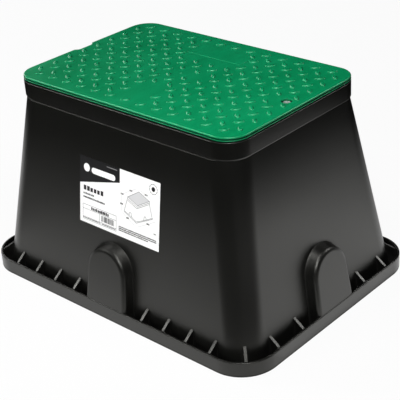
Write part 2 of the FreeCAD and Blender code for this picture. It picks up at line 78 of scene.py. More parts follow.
SIDE_BOARD_LEVEL = 1.25
SIDE_BOARD_LIFT = 0.001
# Lamps: name, place, size and watts. The fills act by diffuse light alone, the strips by gloss alone.
LIGHT_TARGET = Vector((0, 0, 0.25))
FILL_LIGHTS = (
    ("fill_left", (-2.1, -0.55, 1.35), (0.8, 0.8), 23.0),
    ("fill_overhead", (0.38, -0.32, 1.0), (0.4, 0.4), 6.5),
    ("fill_label", (-0.7, -2.2, 0.75), (1.0, 0.8), 24.0),
)
GLOSS_LIGHTS = (
    ("strip_above", (0.5, -0.45, 2.35), (0.8, 0.8), 15.0),
    ("strip_front", (1.1, -1.14, 1.77), (0.7, 0.5), 34.0),
    ("strip_left", (-1.85, -1.25, 2.05), (0.8, 0.7), 42.0),
    ("strip_right", (1.2, 1.95, 1.9), (0.7, 0.7), 22.0),
    ("strip_back", (-2.4, 0.65, 0.95), (0.9, 0.7), 12.0),
)


def add_camera():
    a = math.radians(CAMERA_AZIMUTH)
    e = math.radians(CAMERA_ELEVATION)
    roll = math.radians(CAMERA_ROLL)
    back = Vector((math.sin(a) * math.cos(e), -math.cos(a) * math.cos(e), math.sin(e)))
    level = (-back).cross(Vector((0, 0, 1))).normalized()
    upright = level.cross(-back)
    right = math.cos(roll) * level + math.sin(roll) * upright
    up = -math.sin(roll) * level + math.cos(roll) * upright
    place = CAMERA_TARGET + back * CAMERA_DISTANCE - right * CAMERA_ASIDE - up * CAMERA_UP
    data = bpy.data.cameras.new("camera")
    data.lens = CAMERA_FOCAL_PX / IMAGE_PX * SENSOR
    data.sensor_width = SENSOR
    data.clip_start = 0.05
    camera = bpy.data.objects.new("camera", data)
    turn = Matrix((right, up, back)).transposed()
    camera.matrix_world = Matrix.Translation(place) @ turn.to_4x4()
    bpy.context.collection.objects.link(camera)
    bpy.context.scene.camera = camera


class Shader:
    """The node tree of a material or a world, with short calls to add and join nodes."""

    def __init__(self, name, owners=bpy.data.materials):
        self.owner = owners.new(name)
        self.owner.use_nodes = True
        self.tree = self.owner.node_tree
        self.tree.nodes.clear()

    def node(self, kind, **values):
        made = self.tree.nodes.new(kind)
        for key, value in values.items():
            setattr(made, key, value)
        return made

    def link(self, out, socket):
        self.tree.links.new(out, socket)

    def put(self, value, socket):
        """Writes a number or a colour on a socket, or links a node's output to it."""
        if isinstance(value, (int, float)):
            socket.default_value = value
        elif isinstance(value, tuple):
            socket.default_value = (*value, 1.0)
        else:
            self.link(value, socket)

    def made(self, kind, **inputs):
        """The first output of a new node with some of its inputs set."""
        node = self.node(kind)
        for name, value in inputs.items():
            self.put(value, node.inputs[name])
        return node.outputs[0]

    def coordinates(self):
        return self.node("ShaderNodeTexCoord").outputs["Object"]

    def noise(self, vector, scale, detail=2.0, roughness=0.5):
        sizes = {"Scale": scale, "Detail": detail, "Roughness": roughness}
        return self.made("ShaderNodeTexNoise", Vector=vector, **sizes)

    def stretch(self, vector, scale):
        mapping = self.node("ShaderNodeMapping")
        mapping.inputs["Scale"].default_value = scale
        self.link(vector, mapping.inputs["Vector"])
        return mapping.outputs["Vector"]

    def math(self, operation, first, second):
        made = self.node("ShaderNodeMath", operation=operation)
        for socket, value in zip(made.inputs, (first, second)):
            self.put(value, socket)
        return made.outputs[0]

    def remap(self, value, low, high, to_low, to_high):
        made = self.node("ShaderNodeMapRange", clamp=True)
        for socket, number in zip(made.inputs[1:5], (low, high, to_low, to_high)):
            socket.default_value = number
        self.link(value, made.inputs[0])
        return made.outputs[0]

    def mix(self, factor, first, second):
        made = self.node("ShaderNodeMix", data_type="RGBA")
        self.put(factor, made.inputs[0])
        self.put(first, made.inputs[6])
        self.put(second, made.inputs[7])
        return made.outputs[2]

    def mix_surfaces(self, factor, first, second):
        made = self.node("ShaderNodeMixShader")
        for socket, value in zip(made.inputs, (factor, first, second)):
            self.link(value, socket)
        return made.outputs[0]

    def done(self, surface, output="ShaderNodeOutputMaterial"):
        """Shows a surface as the owner's own and gives the owner back."""
        self.link(surface, self.node(output).inputs["Surface"])
        return self.owner

    def rounded(self, radius, sharp=None):
        """Normals that round the edges over a radius in metres, but not where sharp is 1."""
        bevel = self.node("ShaderNodeBevel", samples=8)
        bevel.inputs["Radius"].default_value = radius
        if sharp is None:
            return bevel.outputs["Normal"]
        flat = self.node("ShaderNodeNewGeometry").outputs["Normal"]
        blend = self.node("ShaderNodeMix", data_type="VECTOR")
        self.link(sharp, blend.inputs[0])
        self.link(bevel.outputs["Normal"], blend.inputs[4])
        self.link(flat, blend.inputs[5])
        return blend.outputs[1]

    def wear(self, rounded):
        """1 on sharp edges and corners, 0 on flat ground."""
        geometry = self.node("ShaderNodeNewGeometry")
        dot = self.node("ShaderNodeVectorMath", operation="DOT_PRODUCT")
        self.link(geometry.outputs["Normal"], dot.inputs[0])
        self.link(rounded, dot.inputs[1])
        return self.remap(dot.outputs["Value"], 0.999, 0.90, 0.0, 1.0)

    def crevices(self, distance, closed, open_ground):
        """1 in grooves and inner corners, 0 on open ground."""
        open_share = self.node("ShaderNodeAmbientOcclusion", samples=8)
        open_share.inputs["Distance"].default_value = distance
        return self.remap(open_share.outputs["AO"], closed, open_ground, 1.0, 0.0)

    def bump(self, height, strength, distance, normal=None):
        inputs = {"Strength": strength, "Distance": distance, "Height": height}
        if normal is not None:
            inputs["Normal"] = normal
        return self.made("ShaderNodeBump", **inputs)

    def surface(self, colour, roughness, normal, metallic=0.0, specular=0.5, tint=(1.0, 1.0, 1.0)):
        shader = self.node("ShaderNodeBsdfPrincipled")
        self.put(metallic, shader.inputs["Metallic"])
        self.put(specular, shader.inputs["Specular IOR Level"])
        self.put(tint, shader.inputs["Specular Tint"])
        self.put(colour, shader.inputs["Base Color"])
        self.put(roughness, shader.inputs["Roughness"])
        self.link(normal, shader.inputs["Normal"])
        return self.done(shader.outputs[0])


def linear(r, g, b):
    """A colour written as screen values from 0 to 255, as the shaders want it."""
    shares = (r / 255, g / 255, b / 255)
    return tuple(v / 12.92 if v < 0.04045 else ((v + 0.055) / 1.055) ** 2.4 for v in shares)


def black_plastic():
    s = Shader("black_polyethylene")
    where = s.coordinates()
    cloud = s.noise(where, 9.0, 3.0, 0.6)
    grain = s.noise(where, 900.0, 3.0, 0.7)
    nook = s.crevices(0.006, 0.45, 0.92)
    rounded = s.rounded(0.0004, nook)
    edge = s.wear(rounded)
    base = s.mix(cloud, linear(14, 14, 13), linear(20, 20, 18))
    base = s.mix(s.math("MULTIPLY", edge, 0.35), base, linear(58, 59, 58))
    rough = s.remap(s.noise(where, 6.0, 1.0, 0.5), 0.35, 0.65, 0.285, 0.335)
    dull = s.math("MAXIMUM", s.math("MULTIPLY", edge, 0.5), nook)
    rough = s.math("ADD", rough, s.math("MULTIPLY", dull, 0.5))
    normal = s.bump(grain, 0.35, 0.0003, rounded)
    gloss = s.remap(nook, 0.0, 1.0, 0.55, 0.08)
    return s.surface(base, rough, normal, specular=gloss, tint=(1.0, 0.995, 0.94))


def green_plastic():
    s = Shader("green_polyethylene")
    where = s.coordinates()
    cloud = s.noise(where, 14.0, 4.0, 0.6)
    streak = s.noise(s.stretch(where, (60.0, 8.0, 8.0)), 2.0, 3.0, 0.6)
    grain = s.noise(where, 700.0, 3.0, 0.7)
    rounded = s.rounded(0.0008)
    edge = s.wear(rounded)
    mixed = s.remap(s.math("ADD", cloud, streak), 0.75, 1.25, 0.0, 1.0)
    base = s.mix(mixed, linear(0, 124, 75), linear(0, 138, 87))
    base = s.mix(s.math("MULTIPLY", edge, 0.3), base, linear(50, 165, 118))
    # Painted shade: the green turns darker in grooves, inner corners and round the feet of the tread bars,
    # where less light reaches
    base = s.mix(s.crevices(0.005, 0.35, 0.8), base, linear(0, 62, 36))
    rough = s.remap(cloud, 0.3, 0.7, 0.3, 0.38)
    normal = s.bump(grain, 0.25, 0.0003, rounded)
    return s.surface(base, rough, normal, specular=0.45, tint=(0.6, 1.0, 0.82))


def zinc():
    s = Shader("zinc_plated_steel")
    where = s.coordinates()
    cloud = s.noise(where, 400.0, 3.0, 0.6)
    rounded = s.rounded(0.0003)
    base = s.mix(cloud, linear(160, 176, 167), linear(186, 200, 191))
    rough = s.remap(cloud, 0.3, 0.7, 0.42, 0.56)
    normal = s.bump(cloud, 0.2, 0.0002, rounded)
    return s.surface(base, rough, normal, metallic=0.55)


def film():
    s = Shader("label_film")
    where = s.coordinates()
    cloud = s.noise(where, 40.0, 3.0, 0.6)
    base = s.mix(cloud, linear(243, 243, 242), linear(248, 248, 247))
    rough = s.remap(cloud, 0.3, 0.7, 0.3, 0.4)
    normal = s.bump(cloud, 0.1, 0.0004)
    return s.surface(base, rough, normal)


def ink(name, grey):
    s = Shader(name)
    where = s.coordinates()
    speck = s.noise(where, 1500.0, 2.0, 0.6)
    base = s.mix(speck, linear(grey, grey, grey + 1), linear(grey + 9, grey + 9, grey + 10))
    rough = s.remap(speck, 0.3, 0.7, 0.4, 0.5)
    normal = s.bump(speck, 0.1, 0.0001)
    return s.surface(base, rough, normal, specular=0.4)


def seen_white(s):
    """1 for rays that show the background: from the camera, or by way of gloss or glass."""
    path = s.node("ShaderNodeLightPath")
    seen = s.math("MAXIMUM", path.outputs["Is Camera Ray"], path.outputs["Is Glossy Ray"])
    return s.math("MAXIMUM", seen, path.outputs["Is Transmission Ray"])


def square(half):
    return ((-half, -half), (half, -half), (half, half), (-half, half))


def at_height(plan, z):
    return [(x, y, z) for x, y in plan]


def stage_faces(name, outlines, material):
    """One studio object from flat faces, each given by its corners."""
    points = [corner for outline in outlines for corner in outline]
    faces = []
    for outline in outlines:
        first = faces[-1][-1] + 1 if faces else 0
        faces.append(tuple(range(first, first + len(outline))))
    mesh = bpy.data.meshes.new(name)
    mesh.from_pydata(points, [], faces)
    mesh.materials.append(material)
    made = bpy.data.objects.new(name, mesh)
    bpy.context.collection.objects.link(made)
    return made


def add_floor():
    """Pale ground that takes the shadow, and looks nearly white to the camera and in the gloss."""
    s = Shader("floor")
    share = s.math("MULTIPLY", seen_white(s), FLOOR_WHITE_SHARE)
    ground = s.made("ShaderNodeBsdfDiffuse", Color=FLOOR_GREY)
    white = s.made("ShaderNodeEmission", Strength=1.0)
    material = s.done(s.mix_surfaces(share, ground, white))
    stage_faces("floor", [at_height(square(FLOOR_HALF), -FLOOR_DROP)], material)


def gloss_only(flag):
    """Keeps a studio object out of sight and out of the light, apart from reflections."""
    flag.visible_camera = False
    flag.visible_diffuse = False
    flag.visible_shadow = False
    flag.visible_transmission = False


def flag_cloth(name, clear_below, dark_above):
    """Black studio cloth, see-through below one height and closed above another."""
    s = Shader(name)
    parts = s.node("ShaderNodeSeparateXYZ")
    s.link(s.coordinates(), parts.inputs[0])
    dark = s.remap(parts.outputs["Z"], clear_below, dark_above, 0.0, 1.0)
    black = s.made("ShaderNodeBsdfDiffuse", Color=(0.0, 0.0, 0.0))
    return s.done(s.mix_surfaces(dark, s.made("ShaderNodeBsdfTransparent"), black))


def upright_faces(sides, top):
    """A wall from the floor up to a height on each side, which runs from one point to another."""
    return [((a, b, 0.0), (c, d, 0.0), (c, d, top), (a, b, top)) for (a, b), (c, d) in sides]


def add_flags():
    """What only the gloss sees: a dark room, dark cards, a bright board, and low cloths round the box."""
    corners = square(ROOM_HALF)
    walls = upright_faces(zip(corners, corners[1:] + corners[:1]), ROOM_HEIGHT)
    walls.append(at_height(corners, ROOM_HEIGHT))
    front = [at_height(FRONT_CARD, FRONT_CARD_LIFT)]
    half = [at_height(plan, HALF_CARDS_LIFT) for plan in HALF_CARDS]
    x, y, far = CLOTH_X, CLOTH_Y, CLOTH_FAR
    long_sides = upright_faces((((-far, -y), (x, -y)), ((x, y), (-far, y))), CLOTH_TOP)
    short_sides = upright_faces((((x, -y), (x, far)), ((-x, y), (-x, -y))), CLOTH_TOP)
    for name, faces, dark_range in (
        ("dark_room", walls, ROOM_RANGE),
        ("front_card", front, FRONT_CARD_RANGE),
        ("half_cards", half, HALF_CARDS_RANGE),
        ("cloth_long", long_sides, CLOTH_LONG_RANGE),
        ("cloth_short", short_sides, CLOTH_SHORT_RANGE),
    ):
        gloss_only(stage_faces(name, faces, flag_cloth(name, *dark_range)))
    board = Shader("side_board")
    bright = board.done(board.made("ShaderNodeEmission", Strength=SIDE_BOARD_LEVEL))
    gloss_only(stage_faces("side_board", [at_height(SIDE_BOARD, SIDE_BOARD_LIFT)], bright))


def add_world(level):
    """A plain level of light, seen as white by the camera, in the gloss and through glass."""
    s = Shader("studio", bpy.data.worlds)
    white = (1.0, 1.0, 1.0)
    room = s.made("ShaderNodeBackground", Color=white, Strength=level)
    seen = s.made("ShaderNodeBackground", Color=white, Strength=1.0)
    mixed = s.mix_surfaces(seen_white(s), room, seen)
    bpy.context.scene.world = s.done(mixed, "ShaderNodeOutputWorld")


def add_softbox(name, place, size, power, glossy):
    """An area lamp that aims at the box, for the gloss alone or for diffuse light alone."""
    data = bpy.data.lights.new(name, "AREA")
    data.shape = "RECTANGLE"
    data.size, data.size_y = size
    data.energy = power
    lamp = bpy.data.objects.new(name, data)
    lamp.location = place
    lamp.visible_glossy = glossy
    lamp.visible_diffuse = not glossy
    aim = LIGHT_TARGET - Vector(place)
    lamp.rotation_euler = aim.to_track_quat("-Z", "Y").to_euler()
    bpy.context.collection.objects.link(lamp)


# Shapes, in millimetres, as the CAD nodes have them, with softer edges, finer bars and thicker ribs.
# CUT_PAST is how far a cutting solid reaches past what it cuts.
MM = 0.001
CUT_PAST = 5.0
ROUND_SEGMENTS = 48
BASE_X, BASE_Y, BASE_CORNER = 270.0, 200.0, 56.0
LIP_TOP, LIP_WALL, FLANGE_FLOOR = 22.8, 4.0, 3.0
FLANGE_WIDTH = 15.4
LEDGE_Z, RIM_Z = 282.8, 308.0
COLLAR_X, COLLAR_Y, COLLAR_CORNER, COLLAR_WALL = 210.6, 142.0, 37.0, 4.5
NECK_X, NECK_Y, WALL_CORNER, WALL = 209.8, 142.7, 41.0, 3.5
CHAMBER_TOP = 276.8
SLOPE_X = (BASE_X - FLANGE_WIDTH - NECK_X) / LEDGE_Z
SLOPE_Y = (BASE_Y - FLANGE_WIDTH - NECK_Y) / LEDGE_Z
CORNER_SEGMENTS = 14
BASE_BEVEL = 0.5
LIP_ROUND_OUTSIDE, LIP_ROUND_INSIDE = 1.3, 1.0
RIM_ROUND_OUTSIDE, RIM_ROUND_INSIDE = 0.9, 0.6
# Small profiles of the body: inset and rise of each point
GUTTER_ROUND = ((0.0, 1.2), (0.4, 0.4), (1.2, 0.0))
WALL_FOOT_ROUND = ((-2.0, 0.0), (-0.6, 0.6), (0.0, 2.0))
COLLAR_FOOT = ((1.2, 0.0), (0.5, 1.2), (0.0, 2.4))
COLLAR_FOOT_DEPTH, CHAMBER_STEP = 1.0, 1.0
BODY_SHARP_ANGLE = 32
RIB_THICKNESS, RIB_TOP_AT_WALL, RIB_TOP_AT_LIP = 4.4, 34.0, 21.6
RIB_SOFT, RIB_IN_WALL, RIB_IN_LIP = 0.15, 0.4 * WALL, 1.5
SIDE_RIBS = (70.1, 112.1, 154.5, 198.1)
END_RIBS = (74.3, 128.3)
ENTRY_RADIUS, ENTRY_SPRING, ENTRY_SPREAD, ENTRY_DRAFT = 38.0, 72.0, 4.5, 2.0
ENTRY_SETBACK, ENTRY_ROUNDING, ENTRY_STEPS, ENTRY_SEGMENTS = 1.1, 6.8, 8, 28
ENTRY_LEG_HEIGHTS = (10.0, 20.0, 26.0, 40.0, 56.0)
ENTRY_FOOT, ENTRY_EDGE_GAP = 1.5, 0.3
# Where an entry grows out of the wall: how much wider, how far out, and how far inside the base's edge
ENTRY_ROOT = ((1.0, -WALL / 2, 0.0), (0.4, 0.4, ENTRY_EDGE_GAP), (-0.5, 2.5, ENTRY_EDGE_GAP))
LID_X, LID_Y, LID_CORNER = 210.0, 139.9, 33.0
LID_TOP, LID_UNDER, PLATE_UNDER = 315.8, 310.0, 311.6
LID_ROUNDING, SEAT_INSET = 2.0, 2.4
# The lid's edge below its rounding: inset, and rise above its underside
LID_EDGE = (
    (0.1, 3.6),
    (2.0, 3.4),
    (2.0, 1.2),
    (0.1, 1.0),
    (-0.1, 0.8),
    (-0.1, 0.3),
    (0.2, 0.0),
    (SEAT_INSET, 0.0),
)
LID_SHARP_ANGLE = 32
SKIRT_FOOT, SKIRT_INSET, SKIRT_WALL, SKIRT_BEVEL = 297.0, 5.5, 3.0, 0.8
LID_RIB_PITCH, LID_RIB_HALF, LID_RIB_FOOT = 46.0, 1.3, 302.1
LID_RIBS_ACROSS, LID_RIBS_ALONG = 4, 2
LID_RIB_IN_PLATE, LID_RIB_STEP = 1.0, 0.05
BOLT_X = 187.0
COUNTERBORE_RADIUS, COUNTERBORE_FLOOR, BOSS_FOOT, BOSS_RADIUS = 7.6, 308.4, 304.4, 11.0
BOLT_HOLE_RADIUS = 3.4
TREAD_X, TREAD_Y, TREAD_MARGIN = 14.8, 14.75, 12.0
BAR_HALF_LENGTH, BAR_HALF_WIDTH, BAR_HEIGHT = 7.4, 3.0, 1.6
BAR_CLEAR_OF_BOLT, BAR_SHARP_ANGLE = 6.2, 50
# A bar's section, from its foot to its ridge: share of its width, share of its height
BAR_PROFILE = ((1.1, -0.2), (1.0, 0.03), (0.93, 0.4), (0.84, 0.72), (0.71, 0.91), (0.5, 0.99), (0.15, 1.0))
# A bar's outline: how fast it shortens towards its ridge, how full its lens is, and how blunt its tips are
BAR_SHORTENING, BAR_FULLNESS, BAR_TIP = 1.3, 0.6, 0.02
SMOOTH_AREAS = ((0, 76, 100, 38), (-15, 103, 70, 16), (0, -81, 44, 62), (15, 0, 50, 16))
PAD, PAD_RISE, PAD_BEVEL, PAD_CORNER, PAD_SINK = (-2.0, 85.2, 104.0, 35.5), 0.35, 0.35, 3.0, 0.3
GATE_MARK = (-1.0, -2.0, 2.6)
GATE_PROFILE = (
    (1.0, -0.2),
    (1.0, 0.15),
    (0.85, 0.35),
    (0.6, 0.35),
    (0.42, 0.1),
    (0.3, 0.1),
    (0.22, 0.7),
    (0.1, 0.75),
)
MARK_SHARP_ANGLE = 30
NOTCH_MOUTH, NOTCH_BACK, NOTCH_DEPTH, NOTCH_Y, NOTCH_SOFT = 40.0, 27.0, 7.4, -2.0, 1.5
NOTCH_SKIRT_GAP = 1.0
LUG_HALF, LUG_REACH, LUG_TOP, LUG_FOOT, LUG_GUSSET_FOOT = 16.0, 14.0, 304.0, 285.0, 263.0
LUG_CLEARANCE = 1.5
NUT_FLATS, NUT_FOOT, NUT_TOP = 10.2, 289.6, 294.9


def ring(x, y, corner, z):
    """Points of a rectangle with round corners, half sizes x and y, at height z."""
    points = []
    for quadrant in range(4):
        sx = 1 if quadrant in (0, 3) else -1
        sy = 1 if quadrant in (0, 1) else -1
        for step in range(CORNER_SEGMENTS + 1):
            angle = math.pi / 2 * (quadrant + step / CORNER_SEGMENTS)
            round_x, round_y = corner * math.cos(angle), corner * math.sin(angle)
            points.append((sx * (x - corner) + round_x, sy * (y - corner) + round_y, z))
    return points


def quarter(radius, steps):
    """Offsets of a rounded edge: how far in from the side, and how far down from the top."""
    turns = [math.pi / 2 * step / steps for step in range(steps + 1)]
    return [(radius * (1 - math.cos(a)), radius * (1 - math.sin(a))) for a in turns]


def skin(bm, rings, closed=False):
    """Quads from each ring to the next, with the ends capped, or joined where closed."""
    rows = [[bm.verts.new(point) for point in points] for points in rings]
    pairs = list(zip(rows, rows[1:]))
    if closed:
        pairs.append((rows[-1], rows[0]))
    for low, high in pairs:
        count = len(low)
        for i in range(count):
            j = (i + 1) % count
            bm.faces.new((low[i], low[j], high[j], high[i]))
    if not closed:
        bm.faces.new(list(reversed(rows[0])))
        bm.faces.new(rows[-1])
    return rows


def prism(bm, points, push):
    """A flat polygon pushed along a vector."""
    moved = [tuple(a + b for a, b in zip(point, push)) for point in points]
    skin(bm, [points, moved])


def box(bm, low, high):
    (x0, y0, z0), (x1, y1, z1) = low, high
    prism(bm, [(x0, y0, z0), (x1, y0, z0), (x1, y1, z0), (x0, y1, z0)], (0, 0, z1 - z0))


def make(name, bm):
    """A new object from a bmesh in millimetres."""
    bmesh.ops.recalc_face_normals(bm, faces=bm.faces)
    bmesh.ops.scale(bm, vec=(MM, MM, MM), verts=bm.verts)
    mesh = bpy.data.meshes.new(name)
    bm.to_mesh(mesh)
    bm.free()
    made = bpy.data.objects.new(name, mesh)
    bpy.context.collection.objects.link(made)
    return made


def apply_modifiers(target):
    """Takes what the modifiers show over into the mesh."""
    evaluated = target.evaluated_get(bpy.context.evaluated_depsgraph_get())
    mesh = bpy.data.meshes.new_from_object(evaluated)
    target.modifiers.clear()
    old = target.data
    target.data = mesh
    bpy.data.meshes.remove(old)


def carve(target, bm, operation):
    """Joins the solids in a bmesh to the target, or cuts them out of it."""
    tool = make("tool", bm)
    modifier = target.modifiers.new("carve", "BOOLEAN")
    modifier.operation = operation
    modifier.solver = "EXACT"
    modifier.object = tool
    apply_modifiers(target)
    tool_mesh = tool.data
    bpy.data.objects.remove(tool)
    bpy.data.meshes.remove(tool_mesh)


def smooth(target, degrees):
    """Smooth shading that breaks at edges sharper than the angle."""
    target.data.shade_smooth()
    target.data.set_sharp_from_angle(angle=math.radians(degrees))


def even_normals(target):
    """Lets the large flat faces keep their own direction beside a rounded edge."""
    modifier = target.modifiers.new("even", "WEIGHTED_NORMAL")
    modifier.keep_sharp = True
    modifier.weight = 100
    apply_modifiers(target)


def circle(radius, segments=ROUND_SEGMENTS):
    turns = [2 * math.pi * i / segments for i in range(segments)]
    return [(radius * math.cos(a), radius * math.sin(a)) for a in turns]


def body_rings():
    """The body's section, from under the lip round the outside, over the rim and down inside."""
    rows = []

    def base(inset, z):
        rows.append(ring(BASE_X - inset, BASE_Y - inset, BASE_CORNER - inset, z))

    def wall(inset, z):
        drop = LEDGE_Z - z
        half_x, half_y = NECK_X + SLOPE_X * drop, NECK_Y + SLOPE_Y * drop
        rows.append(ring(half_x - inset, half_y - inset, WALL_CORNER - inset, z))

    def collar(inset, z):
        rows.append(ring(COLLAR_X - inset, COLLAR_Y - inset, COLLAR_CORNER - inset, z))

    base(BASE_BEVEL, 0.0)
    base(0.0, BASE_BEVEL)
    for inset, down in quarter(LIP_ROUND_OUTSIDE, 4):
        base(inset, LIP_TOP - down)
    for inset, down in reversed(quarter(LIP_ROUND_INSIDE, 3)):
        base(LIP_WALL - inset, LIP_TOP - down)
    for inset, rise in GUTTER_ROUND:
        base(LIP_WALL + inset, FLANGE_FLOOR + rise)
    for inset, rise in WALL_FOOT_ROUND:
        wall(inset, FLANGE_FLOOR + rise)
    wall(0.0, RIB_TOP_AT_WALL)
    wall(0.0, LEDGE_Z - COLLAR_FOOT_DEPTH)
    for inset, rise in COLLAR_FOOT:
        collar(inset, LEDGE_Z + rise)
    for inset, down in quarter(RIM_ROUND_OUTSIDE, 3):
        collar(inset, RIM_Z - down)
    for inset, down in reversed(quarter(RIM_ROUND_INSIDE, 2)):
        collar(COLLAR_WALL - inset, RIM_Z - down)
    collar(COLLAR_WALL, CHAMBER_TOP + CHAMBER_STEP)
    wall(WALL, CHAMBER_TOP)
    wall(WALL, 0.0)
    return rows


def arch(radius, reach, slope, limit, foot):
    """One outline of a pipe entry towards -Y, in a plane that leans back with the wall."""
    heights = (foot, *ENTRY_LEG_HEIGHTS)
    legs = [(radius + ENTRY_SPREAD * (1 - z / ENTRY_SPRING), z) for z in heights]
    turns = [math.pi * i / ENTRY_SEGMENTS for i in range(ENTRY_SEGMENTS + 1)]
    crown = [(radius * math.cos(a), ENTRY_SPRING + radius * math.sin(a)) for a in turns]
    outline = legs + crown + [(-x, z) for x, z in reversed(legs)]
    return [(x, -min(reach - slope * z, limit), z) for x, z in outline]


def turned(points, quarters):
    """Points turned about the Z axis by quarter turns."""
    for _ in range(quarters):
        points = [(-y, x, z) for x, y, z in points]
    return points


def entry_sides():
    """For each wall: its quarter turns, the base's edge, its own face at the ground and its slope."""
    long_wall = (BASE_Y, NECK_Y + SLOPE_Y * LEDGE_Z, SLOPE_Y)
    end_wall = (BASE_X, NECK_X + SLOPE_X * LEDGE_Z, SLOPE_X)
    for quarters in range(4):
        yield quarters, *(end_wall if quarters % 2 else long_wall)


def entry_bulges():
    bm = bmesh.new()
    for quarters, base, wall_foot, slope in entry_sides():
        front = base - ENTRY_SETBACK + slope * LIP_TOP
        rows = []
        for wider, out, inside in ENTRY_ROOT:
            radius = ENTRY_RADIUS + ENTRY_DRAFT + wider
            rows.append(arch(radius, wall_foot + out, slope, base - inside, ENTRY_FOOT))
        limit = base - ENTRY_EDGE_GAP
        for side_in, back in quarter(ENTRY_ROUNDING, ENTRY_STEPS):
            rows.append(arch(ENTRY_RADIUS - side_in, front - back, slope, limit, ENTRY_FOOT))
        skin(bm, [turned(points, quarters) for points in rows])
    return bm


def entry_hollows():
    bm = bmesh.new()
    for quarters, base, wall_foot, slope in entry_sides():
        front = base - ENTRY_SETBACK + slope * LIP_TOP - WALL
        radius, inside = ENTRY_RADIUS - WALL, wall_foot - WALL - CUT_PAST
        rows = [
            arch(radius + ENTRY_DRAFT, inside, slope, base, -CUT_PAST),
            arch(radius, front, slope, base - LIP_WALL, -CUT_PAST),
        ]
        skin(bm, [turned(points, quarters) for points in rows])
    return bm


def gusset(wall_face, slope, lip_inner):
    """Outlines across one rib of the gutter, which runs along +X and has softened edges.

    Its inner end leans with the wall, so that it stays within the wall's thickness."""
    half, soft = RIB_THICKNESS / 2, RIB_SOFT
    inside, low = wall_face - RIB_IN_WALL, FLANGE_FLOOR / 2
    inside_low = inside + slope * (RIB_TOP_AT_WALL - low)
    lip_middle = lip_inner + RIB_IN_LIP
    rows = []
    for y, cut in ((-half, soft), (-half + soft, 0.0), (half - soft, 0.0), (half, soft)):
        rows.append(
            [
                (inside_low, y, low),
                (lip_middle, y, low),
                (lip_middle, y, RIB_TOP_AT_LIP - cut),
                (lip_inner, y, RIB_TOP_AT_LIP - cut),
                (wall_face, y, RIB_TOP_AT_WALL - cut),
                (inside, y, RIB_TOP_AT_WALL - cut),
            ]
        )
    return rows


def shifted(points, dx, dy, angle=0.0):
    """Points turned about the Z axis by an angle and then moved."""
    c, s = math.cos(angle), math.sin(angle)
    return [(x * c - y * s + dx, x * s + y * c + dy, z) for x, y, z in points]


def gutter_ribs():
    bm = bmesh.new()
    drop = LEDGE_Z - RIB_TOP_AT_WALL
    wall_x, wall_y = NECK_X + SLOPE_X * drop, NECK_Y + SLOPE_Y * drop
    end_rib = gusset(wall_x, SLOPE_X, BASE_X - LIP_WALL)
    side_rib = gusset(wall_y, SLOPE_Y, BASE_Y - LIP_WALL)
    for sign in (-1, 1):
        for rib, offsets, walls in ((end_rib, END_RIBS, (0, 2)), (side_rib, SIDE_RIBS, (1, 3))):
            for offset in offsets:
                for quarters in walls:
                    skin(bm, [turned(shifted(row, 0, sign * offset), quarters) for row in rib])
    cx, cy = BASE_X - BASE_CORNER, BASE_Y - BASE_CORNER
    diagonal = math.sqrt(0.5)
    reach = (wall_x - WALL_CORNER - cx + wall_y - WALL_CORNER - cy) * diagonal + WALL_CORNER
    corner_rib = gusset(reach, (SLOPE_X + SLOPE_Y) * diagonal, BASE_CORNER - LIP_WALL)
    for sx, sy, angle in ((1, 1, 45), (-1, 1, 135), (-1, -1, 225), (1, -1, 315)):
        skin(bm, [shifted(row, sx * cx, sy * cy, math.radians(angle)) for row in corner_rib])
    return bm


def bolt_lug():
    bm = bmesh.new()
    outer = COLLAR_X - COLLAR_WALL / 2
    wall_at_foot = NECK_X + SLOPE_X * (LEDGE_Z - LUG_GUSSET_FOOT) - WALL / 2
    points = [
        (outer, -LUG_HALF, LUG_TOP),
        (BOLT_X - LUG_REACH, -LUG_HALF, LUG_TOP),
        (BOLT_X - LUG_REACH, -LUG_HALF, LUG_FOOT),
        (wall_at_foot, -LUG_HALF, LUG_GUSSET_FOOT),
        (outer, -LUG_HALF, LEDGE_Z),
    ]
    prism(bm, points, (0, 2 * LUG_HALF, 0))
    return bm


def nut_pocket():
    bm = bmesh.new()
    half = NUT_FLATS / 2
    end = BOLT_X - LUG_REACH - CUT_PAST
    tip = NUT_FLATS / math.sqrt(3)
    plan = [
        (end, -half),
        (BOLT_X + tip / 2, -half),
        (BOLT_X + tip, 0),
        (BOLT_X + tip / 2, half),
        (end, half),
    ]
    prism(bm, at_height(plan, NUT_FOOT), (0, 0, NUT_TOP - NUT_FOOT))
    return bm


def bolt_cylinder(radius, low, high):
    """A cylinder on the bolt's axis, to bore with or to add as a boss."""
    bm = bmesh.new()
    skin(bm, [[(BOLT_X + x, y, z) for x, y in circle(radius)] for z in (low, high)])
    return bm


def box_tool(low, high):
    bm = bmesh.new()
    box(bm, low, high)
    return bm


def build_body(material):
    bm = bmesh.new()
    skin(bm, body_rings(), closed=True)
    body = make("valve_box_body", bm)
    carve(body, entry_bulges(), "UNION")
    carve(body, gutter_ribs(), "UNION")
    carve(body, entry_hollows(), "DIFFERENCE")
    carve(body, bolt_lug(), "UNION")
    carve(body, nut_pocket(), "DIFFERENCE")
    low, high = LUG_GUSSET_FOOT - CUT_PAST, LUG_TOP + CUT_PAST
    carve(body, bolt_cylinder(BOLT_HOLE_RADIUS, low, high), "DIFFERENCE")
    smooth(body, BODY_SHARP_ANGLE)
    even_normals(body)
    finish_piece(body, material, "box", "box_body")


